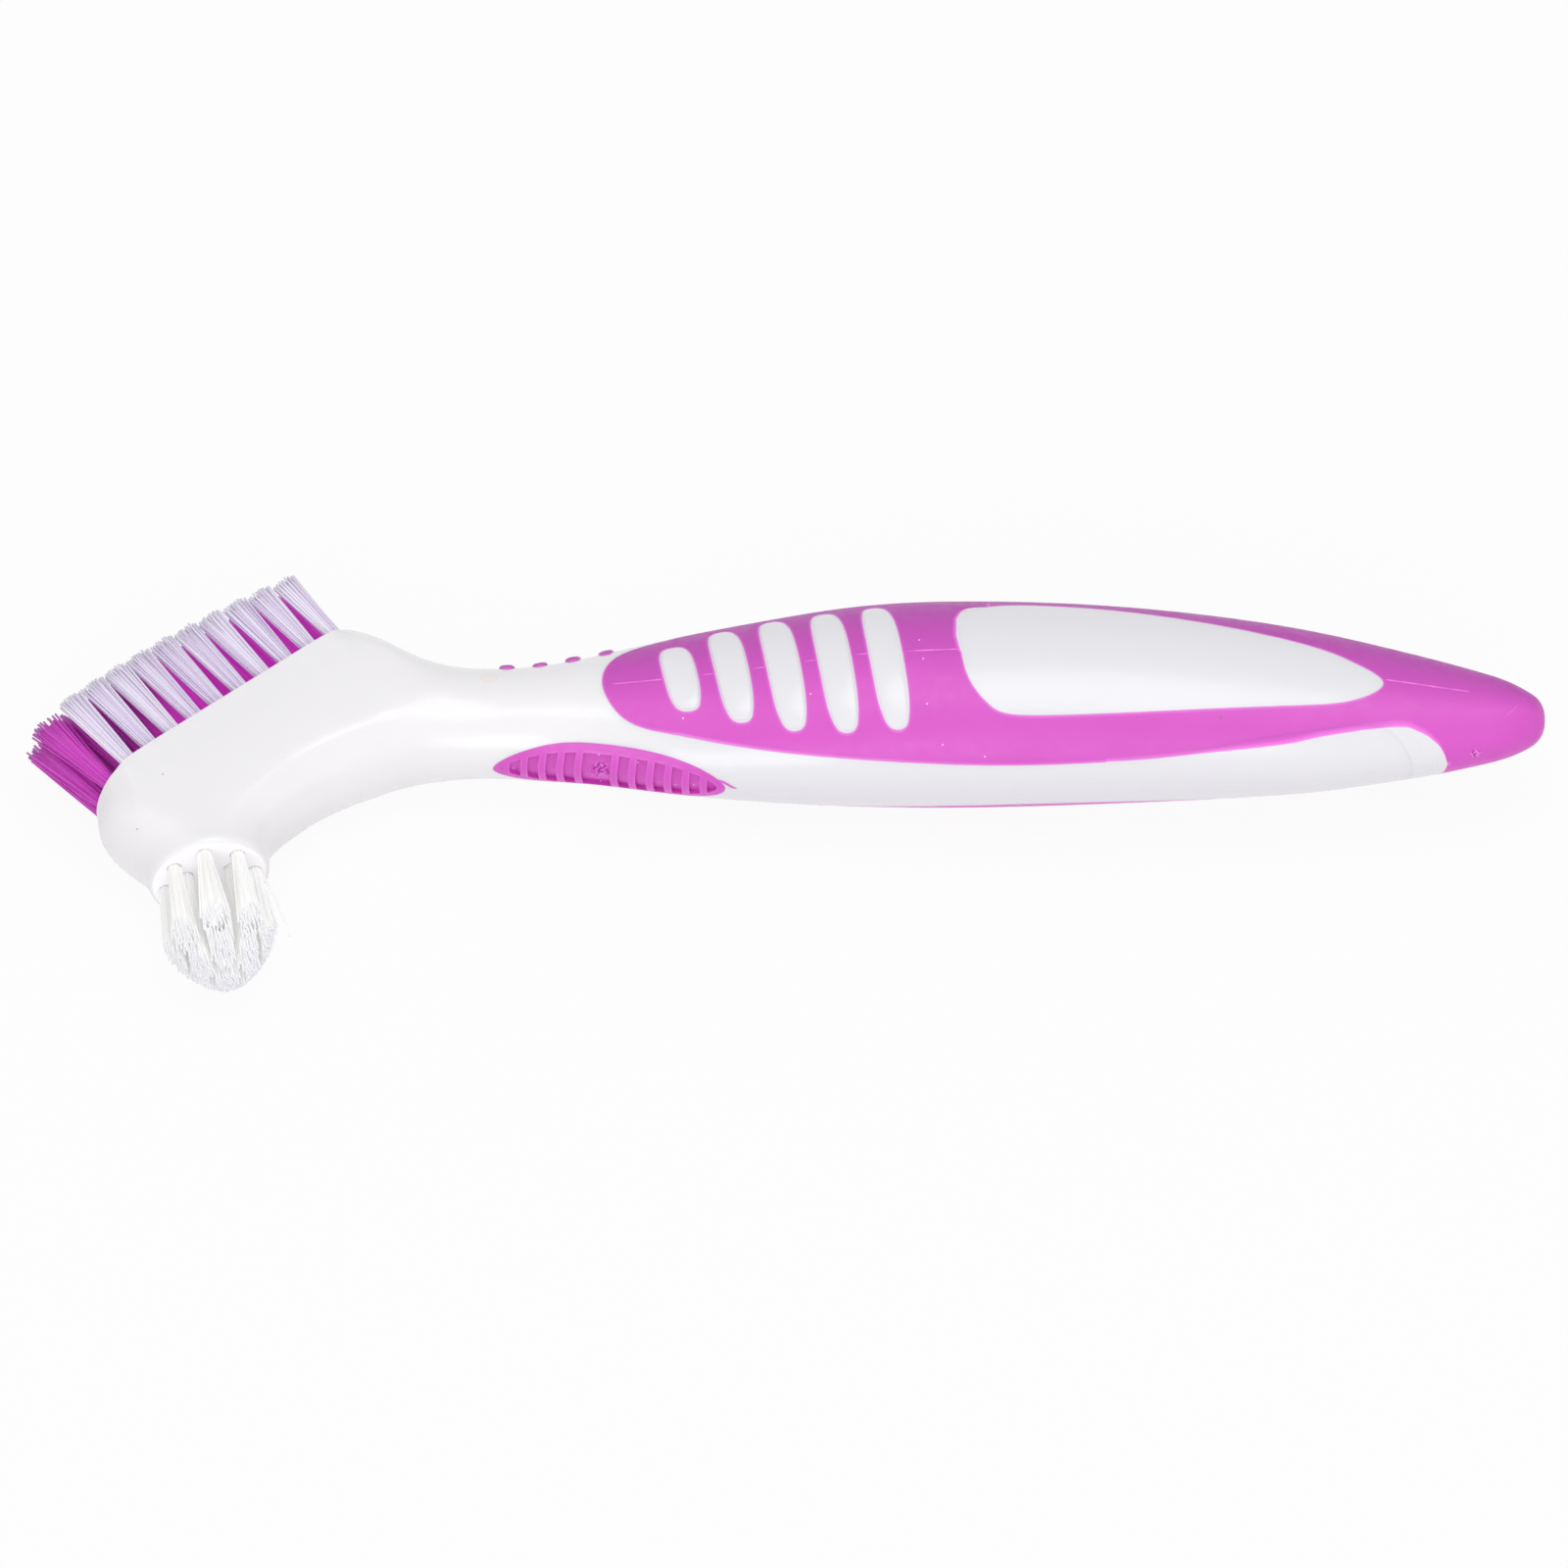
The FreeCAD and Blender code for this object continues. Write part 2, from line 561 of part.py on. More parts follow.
def large_row(side, count, first, toe_side):
    """Tufts, anchors and holes of one lengthwise row of the large brush, its first tuft at toe_side."""
    over = FACE_NORMAL.cross(FACE_ALONG)
    pitch = (FACE_LENGTH - HEEL_INSET - first) / (count - 1)
    tufts = []
    anchors = []
    holes = []
    for i in range(count):
        from_toe = first + pitch * i
        side_place = toe_side if i == 0 else side
        place = TOE + FACE_ALONG * from_toe + over * side_place
        offset = (from_toe - LONGEST_PLACE) / (FACE_LENGTH - HEEL_INSET - LONGEST_PLACE)
        tip = place + FACE_NORMAL * (LARGE_TRIM - HEEL_SHORTENING * offset ** 2) + over * (side_place * SPLAY)
        strip = anchor(place, FACE_NORMAL, over, LARGE_HOLE_DIAMETER - 2 * TUFT_CLEARANCE)
        bundle = tuft(place, FACE_NORMAL, FACE_ALONG, LARGE_HOLE_DIAMETER, tip, pitch * TIP_FILL,
                      ROW_SPACING * (1 + SPLAY) * TIP_FILL, FACE_ALONG, FACE_NORMAL)
        tufts.append(bundle.cut(strip))
        anchors.append(strip)
        holes.append(hole(place, FACE_NORMAL, LARGE_HOLE_DIAMETER))
    return tufts, anchors, holes


def small_ring(radius, count, first_angle):
    """Tufts, anchors and holes of one ring of the small brush. Their tips follow its domed trim."""
    half_round = SMALL_TIP_ROUND * 2 * math.pi * radius / count if radius else SMALL_TIP_RADIAL
    ahead = Vector(0, 1, 0).cross(SMALL_FACE_NORMAL)
    side = Vector(0, 1, 0)
    tufts = []
    anchors = []
    holes = []
    for i in range(count):
        cosine, sine = spin(first_angle + 360 * i / count)
        outward = ahead * cosine + side * sine
        place = SMALL_FACE_CENTRE + outward * radius
        reach = radius / OUTER_RING_RADIUS
        height = SMALL_TRIM_CENTRE - (SMALL_TRIM_CENTRE - SMALL_TRIM_EDGE) * reach ** 2
        slope = 2 * (SMALL_TRIM_CENTRE - SMALL_TRIM_EDGE) * reach / OUTER_RING_RADIUS
        tip_outward = outward - SMALL_FACE_NORMAL * slope
        tip_outward.normalize()
        tip_normal = tip_outward.cross(SMALL_FACE_NORMAL.cross(outward))
        across_ring = SMALL_FACE_NORMAL.cross(outward)
        strip = anchor(place, SMALL_FACE_NORMAL, across_ring, SMALL_HOLE_DIAMETER - 2 * TUFT_CLEARANCE)
        bundle = tuft(place, SMALL_FACE_NORMAL, outward, SMALL_HOLE_DIAMETER,
                      place + SMALL_FACE_NORMAL * height, SMALL_TIP_RADIAL, half_round, tip_outward, tip_normal)
        tufts.append(bundle.cut(strip))
        anchors.append(strip)
        holes.append(hole(place, SMALL_FACE_NORMAL, SMALL_HOLE_DIAMETER))
    return tufts, anchors, holes


def laid_down(shapes):
    """The brush as it comes to rest, with the middle of its footprint at the origin."""
    turn = Rotation(Vector(0, 1, 0), LYING_PITCH).multiply(Rotation(Vector(1, 0, 0), LYING_ROLL))
    turned = {}
    for name, shape in shapes.items():
        turned[name] = shape.transformed(Placement(Vector(0, 0, 0), turn).toMatrix(), True)
    box = Part.makeCompound(list(turned.values())).optimalBoundingBox()
    shift = Vector(-box.Center.x, -box.Center.y, -box.ZMin)
    return {name: shape.translated(shift) for name, shape in turned.items()}


def save(name, shape):
    shape.exportStep("parts/" + name + ".step")


def main():
    os.makedirs("parts", exist_ok=True)
    body = brush_body()
    rooms = [grip_room(), pad_room()]
    grip = body.common(rooms[0])
    pad = thumb_pad(body, rooms[1])
    bars = [neck_bar(index) for index in range(BAR_COUNT)]
    groups = {
        "side_tufts_near": large_row(-OUTER_ROW, SIDE_TUFTS, SIDE_INSET, -OUTER_ROW),
        "side_tufts_far": large_row(OUTER_ROW, SIDE_TUFTS, SIDE_INSET, OUTER_ROW),
        "purple_tufts_near": large_row(-ROW_SPACING, INNER_TUFTS, INNER_INSET, -TOE_SIDE),
        "purple_tufts_mid": large_row(0, MIDDLE_TUFTS, MIDDLE_INSET, 0),
        "purple_tufts_far": large_row(ROW_SPACING, INNER_TUFTS, INNER_INSET, TOE_SIDE),
        "small_tufts_outer": small_ring(OUTER_RING_RADIUS, OUTER_RING_TUFTS, OUTER_RING_START),
        "small_tufts_inner": small_ring(INNER_RING_RADIUS, INNER_RING_TUFTS, INNER_RING_START),
        "small_tuft_centre": small_ring(0, 1, 0),
    }
    holes = [bore for group in groups.values() for bore in group[2]]
    core = body.cut(rooms + bars).fuse(rib_crowns()).cut(holes)
    shapes = {"handle_core": core, "soft_grip": grip, "thumb_pad": pad}
    for index, bar in enumerate(bars):
        shapes["neck_ridge_" + str(index + 1)] = bar
    for name, group in groups.items():
        shapes[name] = Part.makeCompound(group[0])
        shapes["anchors_" + name] = Part.makeCompound(group[1])
    for name, shape in laid_down(shapes).items():
        save(name, shape)


main()
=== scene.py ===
import math
import random

import bpy
from mathutils import Matrix, Vector
from mathutils.bvhtree import BVHTree


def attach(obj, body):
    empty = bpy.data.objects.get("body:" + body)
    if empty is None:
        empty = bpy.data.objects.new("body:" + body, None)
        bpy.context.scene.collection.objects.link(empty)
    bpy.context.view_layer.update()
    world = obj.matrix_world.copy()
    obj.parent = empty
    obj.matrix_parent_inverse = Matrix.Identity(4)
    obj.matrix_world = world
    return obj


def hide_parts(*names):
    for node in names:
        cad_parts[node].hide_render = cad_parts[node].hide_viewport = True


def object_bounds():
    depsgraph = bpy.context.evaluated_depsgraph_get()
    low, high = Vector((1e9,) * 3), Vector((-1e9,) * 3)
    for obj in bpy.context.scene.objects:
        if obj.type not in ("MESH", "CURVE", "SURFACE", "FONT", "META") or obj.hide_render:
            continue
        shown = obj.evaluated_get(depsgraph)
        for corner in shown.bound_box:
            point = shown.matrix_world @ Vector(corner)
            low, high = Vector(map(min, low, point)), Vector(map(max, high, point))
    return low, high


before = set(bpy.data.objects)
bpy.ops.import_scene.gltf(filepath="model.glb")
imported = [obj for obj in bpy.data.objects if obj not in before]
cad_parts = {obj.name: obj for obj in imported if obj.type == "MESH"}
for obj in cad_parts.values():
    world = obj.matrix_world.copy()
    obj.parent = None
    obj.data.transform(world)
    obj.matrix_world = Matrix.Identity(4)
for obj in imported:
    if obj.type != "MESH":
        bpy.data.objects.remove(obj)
cad_low, cad_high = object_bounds()

MM = 0.001

# The brush's own axes, in millimetres: x from the nose of the head to the tail, y across, z to the large
# brush's side. The frame has it lying on its far side.
LYING_ROLL = math.radians(-88.69)
LYING_PITCH = math.radians(-1.93)
NOSE = Vector((-81.25, 10.97, 7.25))
LYING = Matrix.Rotation(LYING_PITCH, 3, "Y") @ Matrix.Rotation(LYING_ROLL, 3, "X")


def place(point):
    """Point of the brush's own axes, in the frame."""
    return (LYING @ point + NOSE) * MM


# Photograph
PHOTO_SIZE = 1600
PHOTO_SCALE = 0.1148            # millimetres of the brush in a pixel
NOSE_PIXEL = 100
AXIS_PIXEL = 735
VIEW_TILT = math.radians(38)    # the camera looks at the brush from its back by this much
CAMERA_DISTANCE = 4000
SENSOR = 36

# Details that the photograph shows, each at its pixel (column, row)
NECK_GATE = (499, 691)
NECK_GATE_RADIUS = 1.15
TAIL_GATE = (1506, 769)
TAIL_GATE_RADIUS = 0.8
PAD_GATE = (613, 784)
PAD_GATE_RADIUS = 1.2
PAD_FLASH = [(731, 795), (737, 797.5), (742, 800), (747, 803), (752, 804.7)]
PAD_FLASH_SIZE = (0.2, 0.12)    # half width and height
SCRATCH = [(1534, 733), (1541, 727), (1548, 720), (1556, 713), (1561, 708)]
SCRATCH_SIZE = (0.06, 0.03)
GRIP_DUST = [(697, 733), (827, 708), (938, 653), (942, 672), (962, 760), (1005, 772), (946, 718)]
PAD_DUST = [(611, 770), (613, 797), (524, 784), (651, 778), (689, 801), (708, 801)]
CORE_DIRT = [(557, 795), (166, 790), (140, 846)]
GRIP_DIRT = [(851, 625), (1246, 732)]
DUST_RADIUS = 0.13
CORE_DIRT_RADIUS = 0.16
GRIP_DIRT_RADIUS = 0.256
CORE_DIRT_SHARE = 0.45          # how far dirt covers the colour under it
GRIP_DIRT_SHARE = 0.5

# Border of the white strip along the back, towards the tail, as (x, distance from the middle line)
STRIP_BORDER = [(118.0, 3.80), (121.7, 3.89), (131.3, 4.44), (138.9, 4.78), (144.9, 5.11), (149.5, 5.02),
                (152.5, 4.80), (154.5, 4.26), (156.5, 3.10), (157.5, 1.80), (158.0, 0.0)]
STRIP_ZONE_TOP = [(120.0, -7.0), (152.0, -3.5)]   # below this height, as (x, z), it is the nearest border

# Border of the window's upper front corner, as (height in the photograph's plane, x)
CORNER_BORDER = [(8.04, 101.05), (9.18, 100.75), (10.10, 100.55), (11.59, 100.55), (12.35, 100.87),
                 (12.90, 101.5), (13.16, 102.5), (13.26, 104.5)]
CORNER_START = 99.05
CORNER_END = 104.5
CORNER_TOP = 11.8               # the height z that the corner stays below

# Handle's parting line: height of the sections' middle, as (x, z), on the grip
PARTING_LINE = [(60.2, 0.15), (66.0, 0.52), (77.5, 1.26), (89.1, 2.06), (103.3, 2.37), (118.2, 2.32),
                (132.8, 1.81), (142.2, 1.26), (150.4, 0.80), (157.6, 0.41), (161.0, 0.26)]
PARTING_STEP = 0.5
PARTING_SIZE = (0.13, 0.07)
PARTING_CAST = 20.0             # from beside the handle to its middle plane
PARTING_FACING = 0.8            # how far the surface has to face sideways
PARTING_REACH = 14.0            # a ray that goes farther has passed through a window
TAIL_REACH = 18.0               # the same on the narrow tail, behind TAIL_START
TAIL_START = 150
RIDGE_SECTION = ((-1, -1), (-0.6, 0.7), (0, 1), (0.6, 0.7), (1, -1))   # shares of half width and height
RIDGE_END = 0.3                 # how small a ridge gets at its ends

# Head, as in the part's source
HEAD_FACE_TILT = math.radians(38.3)
FACE_LENGTH = 40.6
TOE = Vector((0, 0, -13.6))
FACE_ALONG = Vector((math.cos(HEAD_FACE_TILT), 0, math.sin(HEAD_FACE_TILT)))
FACE_NORMAL = Vector((-math.sin(HEAD_FACE_TILT), 0, math.cos(HEAD_FACE_TILT)))
LARGE_HOLE_RADIUS = 0.95
LARGE_TRIM = 11.65
LONGEST_PLACE = 12.0
HEEL_SHORTENING = 1.9
HEEL_INSET = 5.3
ROW_SPACING = 2.75
OUTER_ROW = 5.5
TOE_SIDE = 3.2
SPLAY = 0.06
SMALL_HOLE_RADIUS = 0.85
SMALL_FACE_TILT = math.radians(10)
SMALL_FACE_NORMAL = Vector((math.sin(SMALL_FACE_TILT), 0, -math.cos(SMALL_FACE_TILT)))
SMALL_TRIM_CENTRE = 15.4
SMALL_TRIM_EDGE = 10.6
OUTER_RING_RADIUS = 5.3
INNER_RING_RADIUS = 3.05
SMALL_FACE_CENTRE = Vector((13.36, 0, -23.71))
SMALL_LEAN = Vector((-0.02, 0, 0))   # lean of the small brush to the nose, for each unit of height
SMALL_SPREAD = 0.3                   # outward, of the outer ring's tips

# Rows of the large brush: name, place across, tufts, and the first tuft's place from the toe and across
WHITE_ROWS = [("side_tufts_near", -OUTER_ROW, 10, 5.0, -OUTER_ROW),
              ("side_tufts_far", OUTER_ROW, 10, 5.0, OUTER_ROW)]
PURPLE_ROWS = [("purple_tufts_near", -ROW_SPACING, 11, 2.3, -TOE_SIDE),
               ("purple_tufts_mid", 0, 12, 1.6, 0),
               ("purple_tufts_far", ROW_SPACING, 11, 2.3, TOE_SIDE)]

# Rings of the small brush: name, radius, tufts, first tuft's angle, and half of a tip outward and round
RINGS = [("small_tufts_outer", OUTER_RING_RADIUS, 8, 7, 1.25, 2.05),
         ("small_tufts_inner", INNER_RING_RADIUS, 6, 35, 1.3, 1.6),
         ("small_tuft_centre", 0, 1, 0, 1.5, 1.5)]

# Filaments
FILAMENT_RADIUS = 0.12
FILAMENT_SIDES = 6
FILAMENT_STEPS = 6
FILAMENTS_IN_TUFT = 48
ROOT_DEPTH = 1.5
HEART_SHARES = (0.0, 0.5, 0.9)  # places along a tuft of its packed inner body's rings
HEART_SIDES = 24
HEART_FLUTES = (1, 0.9)         # share of its full width at its ridges and grooves
HEART_TINT_AND_GROOVE_SHADE = (0.35, 0.9)       # and how far they have the darker shade: a filament's usual tint on the ridges, painted shade in the grooves
HEART_FILL = 0.86
CUT_END = 0.93                  # where a filament's duller end begins, as a share of its length
TINT_POWER = 1.5                # above 1, so that the darker filaments are the rarer ones
DOME = 0.5                      # height of a filament's end, as a share of its radius
WHITE_TIP_SIZE = (1.7, 0.95)    # half of a tuft's tip along its row and across it
PURPLE_TIP_SIZE = (1.75, 1.35)
TOE_TIP_SIZE = (2.3, 1.7)
TOE_LEAN = 0.7                  # how far the first purple tufts lean out over the toe
TOE_GROWTH = 0.5                # and how much longer they are
TOE_SPLAY = -0.5                # of the far one of them, bent back over the others
JITTER = 0.07                   # unevenness of the filaments' places at the tip
TOE_JITTER = 0.2
CUT_JITTER = 0.7                # share of that in their length
BOW_JITTER = 0.4                # and in their bend
TIP_INSET = 0.94                # how far out in a tuft's tip its filaments end
STRAY_TUFT = 4                  # the outer small tuft with a loose filament
STRAY_REACH = 2.4               # how far that stands out, where it is rooted, and how far it bends
STRAY_ROOT = 0.6
STRAY_BOW = 0.3


def photo_axes():
    """Right, up and backward directions of the camera, in the frame."""
    right = LYING @ Vector((1, 0, 0))
    up = LYING @ Vector((0, -math.sin(VIEW_TILT), math.cos(VIEW_TILT)))
    back = LYING @ Vector((0, -math.cos(VIEW_TILT), -math.sin(VIEW_TILT)))
    return right, up, back


def surface_of(*nodes):
    """Joined surface of CAD nodes, for casting rays at."""
    points = []
    faces = []
    for name in nodes:
        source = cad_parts[name]
        first = len(points)
        points.extend(source.matrix_world @ vertex.co for vertex in source.data.vertices)
        for polygon in source.data.polygons:
            faces.append([first + corner for corner in polygon.vertices])
    return BVHTree.FromPolygons(points, faces)


class Photo:
    """Finds the place on a CAD node's surface that a pixel of the photograph shows."""

    def __init__(self):
        right, up, back = photo_axes()
        self.right = right * PHOTO_SCALE * MM
        self.down = -up * PHOTO_SCALE * MM
        self.nose = place(Vector((0, 0, 0)))
        middle = PHOTO_SIZE / 2
        self.eye = self.plane((middle, middle)) + back * CAMERA_DISTANCE * MM

    def plane(self, pixel):
        return self.nose + self.right * (pixel[0] - NOSE_PIXEL) + self.down * (pixel[1] - AXIS_PIXEL)

    def hit(self, surface, pixel):
        """Point and outward direction there."""
        sight = (self.plane(pixel) - self.eye).normalized()
        return surface.ray_cast(self.eye, sight)[:2]

    def points(self, surface, pixels):
        return [self.hit(surface, pixel)[0] for pixel in pixels]


def make_camera(photo):
    """Camera at the photograph's place, with a long lens."""
    camera = bpy.data.objects.new("camera", bpy.data.cameras.new("camera"))
    bpy.context.scene.collection.objects.link(camera)
    camera.matrix_world = Matrix.Translation(photo.eye) @ Matrix(photo_axes()).transposed().to_4x4()
    camera.data.sensor_width = SENSOR
    camera.data.lens = SENSOR * CAMERA_DISTANCE / (PHOTO_SIZE * PHOTO_SCALE)
    camera.data.clip_start = 0.05
    camera.data.clip_end = 20
    bpy.context.scene.camera = camera


# Materials

class Shader:
    """Node tree of one material, with short names for what this scene uses."""

    def __init__(self, name, base, roughness):
        self.material = bpy.data.materials.new(name)
        self.material.use_nodes = True
        self.material.cycles.emission_sampling = "NONE"
        self.nodes = self.material.node_tree.nodes
        self.links = self.material.node_tree.links
        self.surface = self.nodes["Principled BSDF"]
        self.surface.inputs["Base Color"].default_value = (*base, 1)
        self.surface.inputs["Roughness"].default_value = roughness

    def node(self, kind, inputs=None, **settings):
        node = self.nodes.new("ShaderNode" + kind)
        for name, value in settings.items():
            setattr(node, name, value)
        for name, value in (inputs or {}).items():
            socket = node.inputs[name]
            if isinstance(value, bpy.types.NodeSocket):
                self.links.new(value, socket)
            else:
                socket.default_value = value
        return node

    def feed(self, name, socket):
        self.links.new(socket, self.surface.inputs[name])

    def math(self, operation, first, second=0.0, third=0.0):
        return self.node("Math", {0: first, 1: second, 2: third}, operation=operation).outputs[0]

    def position(self):
        return self.node("TexCoord").outputs["Object"]

    def noise(self, scale, detail=2.0):
        inputs = {"Vector": self.position(), "Scale": scale, "Detail": detail}
        return self.node("TexNoise", inputs).outputs["Fac"]

    def cloud(self, scale, start=0.0, end=1.0, detail=2.0):
        """Noise that wanders between two values."""
        return self.ramp(self.noise(scale, detail), NOISE_LOW, NOISE_HIGH, start, end)

    def ramp(self, value, low, high, start=0.0, end=1.0):
        return self.node("MapRange", {"Value": value, "From Min": low, "From Max": high,
                                      "To Min": start, "To Max": end}).outputs["Result"]

    def mix(self, factor, first, second):
        node = self.node("Mix", data_type="RGBA")
        for socket, value in ((node.inputs[0], factor), (node.inputs[6], first), (node.inputs[7], second)):
            if isinstance(value, bpy.types.NodeSocket):
                self.links.new(value, socket)
            else:
                socket.default_value = value
        return node.outputs[2]

    def near(self, point):
        """Distance from a point of the frame."""
        return self.node("VectorMath", {0: self.position(), 1: point}, operation="DISTANCE").outputs["Value"]

    def along(self, direction):
        """Coordinate along one of the brush's own axes, in millimetres."""
        offset = self.node("VectorMath", {0: self.position(), 1: NOSE * MM}, operation="SUBTRACT")
        scaled = LYING @ Vector(direction) / MM
        return self.dot(offset.outputs["Vector"], scaled)

    def graph(self, value, spots):
        """Height at a value of the smooth line through spots, each a place and its height."""
        first, last = spots[0][0], spots[-1][0]
        low = min(height for spot, height in spots)
        high = max(height for spot, height in spots)
        curve = self.node("FloatCurve", {"Value": self.ramp(value, first, last)})
        line = curve.mapping.curves[0]
        shares = [((spot - first) / (last - first), (height - low) / (high - low)) for spot, height in spots]
        line.points[0].location = shares[0]
        line.points[1].location = shares[-1]
        for share in shares[1:-1]:
            line.points.new(*share)
        for point in line.points:
            point.handle_type = "AUTO_CLAMPED"
        curve.mapping.update()
        return self.ramp(curve.outputs[0], 0.0, 1.0, low, high)

    def strip(self):
        """Millimetres outside the back strip's border, and 1 where that is the nearest border."""
        x = self.along((1, 0, 0))
        aside = self.math("ABSOLUTE", self.along((0, 1, 0)))
        outside = self.math("SUBTRACT", aside, self.graph(x, STRIP_BORDER))
        outside = self.math("MAXIMUM", outside, self.math("SUBTRACT", x, STRIP_BORDER[-1][0]))
        low, high = STRIP_ZONE_TOP
        top = self.ramp(x, low[0], high[0], low[1], high[1])
        below = self.math("LESS_THAN", self.along((0, 0, 1)), top)
        return outside, self.math("MULTIPLY", below, self.math("GREATER_THAN", x, STRIP_BORDER[0][0]))

    def corner(self):
        """The same for the window's upper front corner."""
        x = self.along((1, 0, 0))
        z = self.along((0, 0, 1))
        aside = self.math("MULTIPLY", self.math("ABSOLUTE", self.along((0, 1, 0))), math.sin(VIEW_TILT))
        height = self.math("MULTIPLY_ADD", z, math.cos(VIEW_TILT), aside)
        outside = self.math("SUBTRACT", self.graph(height, CORNER_BORDER), x)
        outside = self.math("MAXIMUM", outside, self.math("SUBTRACT", height, CORNER_BORDER[-1][0]))
        zone = self.math("GREATER_THAN", height, CORNER_BORDER[0][0])
        for limit in (self.math("LESS_THAN", z, CORNER_TOP), self.math("LESS_THAN", x, CORNER_END),
                      self.math("GREATER_THAN", x, CORNER_START)):
            zone = self.math("MULTIPLY", zone, limit)
        return outside, zone

    def borders(self):
        """The same for whichever of the two borders is near."""
        outside, zone = self.strip()
        corner, near_corner = self.corner()
        outside = self.math("MULTIPLY_ADD", near_corner, self.math("SUBTRACT", corner, outside), outside)
        return outside, self.math("MAXIMUM", zone, near_corner)

    def spots(self, points, radius):
        """1 within a radius of any of the points, 0 away from them."""
        total = 0.0
        for point in points:
            spot = self.ramp(self.near(point), radius, SOFT_SHARE * radius)
            total = self.math("MAXIMUM", spot, total)
        return total

    def facing(self, direction):
        """How far the surface faces a direction of the frame: 1 straight, 0 across."""
        normal = self.node("NewGeometry").outputs["Normal"]
        return self.dot(normal, direction)

    def dot(self, first, second):
        return self.node("VectorMath", {0: first, 1: second}, operation="DOT_PRODUCT").outputs["Value"]

    def edge(self, radius):
        """1 on the object's sharp outer and inner edges, 0 away from them."""
        rounded = self.node("Bevel", {"Radius": radius}, samples=6).outputs["Normal"]
        return self.ramp(self.dot(rounded, self.node("NewGeometry").outputs["Normal"]), 1.0, SHARP)

    def bump(self, height, strength, distance):
        node = self.node("Bump", {"Height": height, "Strength": strength, "Distance": distance})
        self.feed("Normal", node.outputs["Normal"])


def colour(red, green, blue):
    """Linear colour from 0 to 255 display values."""
    return tuple((value / 255) ** 2.2 for value in (red, green, blue))


WHITE_PLASTIC = colour(242, 240, 242)
WHITE_SHADE = colour(240, 238, 241)
WHITE_HANDLE = colour(232, 231, 236)
# painted glow: a pinkish lighter tint on the white plastic's sharp edges
WHITE_EDGE_GLOW = colour(243, 228, 244)
CREAM = colour(240, 231, 218)
PURPLE_RUBBER = colour(219, 88, 202)
PURPLE_CLOUD = colour(215, 85, 198)
# painted shade: darker purple where the rubber faces the large brush's side
PURPLE_PAINTED_SHADE = colour(166, 46, 160)
# painted glow of thin rubber edges and flash; also the lighter chips of a torn gate mark
PURPLE_EDGE_GLOW_AND_CHIPS = colour(255, 132, 240)
PURPLE_MARK = colour(150, 40, 142)
DUST = colour(250, 205, 243)
WHITE_NYLON = colour(238, 234, 246)
WHITE_NYLON_SHADE = colour(214, 198, 228)
WHITE_NYLON_TIP = colour(228, 224, 236)
SMALL_NYLON = colour(247, 247, 248)
SMALL_NYLON_SHADE = colour(240, 239, 236)
SMALL_NYLON_TIP = colour(234, 234, 239)
PURPLE_NYLON = colour(208, 72, 196)
PURPLE_NYLON_SHADE = colour(190, 54, 178)
PURPLE_NYLON_TIP = colour(180, 110, 182)
DIRT = colour(120, 112, 112)
BRASS = colour(200, 170, 105)

NOISE_LOW = 0.3                 # between these the noise has nearly all its values
NOISE_HIGH = 0.7
SHARP = 0.8                     # likeness of the rounded and the true direction on a sharp edge
PLASTIC_EDGE = 0.3 * MM
RUBBER_EDGE = 0.55 * MM
BORDER_GLOW = 0.5               # width in millimetres of the painted glow at a painted border
BORDER_BLUR = 0.05
HANDLE_START = (56, 70)         # between these x the core turns greyer, where it gets thick
COLLAR_PAINTED_GLOW = 0.2               # painted glow (emission) of the white plastic on the small brush's face, lifting the shade among its tufts
COLLAR_REACH = (9 * MM, 7 * MM)  # from that face's middle: where the glow ends and where it is full
TOE_GLOW = 0.06                 # painted glow (emission) of the filaments at the toe, less than between the rows
TOE_REACH = (4, 9)              # between these x it rises to the value of the rows
WHITE_GLOW = 0.06               # the same in the rows and in the small brush
PURPLE_GLOW = 0.32
SMALL_GLOW = 0.115
GRIP_EDGE_GLOW = 1.0            # strength of the painted glow on the rubber's edges
PAD_EDGE_GLOW = 0.35
GLOSS_STEP = 0.2                # rubber's roughness over the plastic's
GATE_SHARE = 0.9                # a gate's rim, as a share of its radius
GATE_RIM = 0.14 * MM
GATE_TOP = 0.85                 # where its raised round begins, as a share of the radius
TORN_SHARE = 0.85               # how far the torn surface of a gate covers the rubber's colour
SOFT_SHARE = 0.6                # where a spot reaches its full colour, as a share of its radius


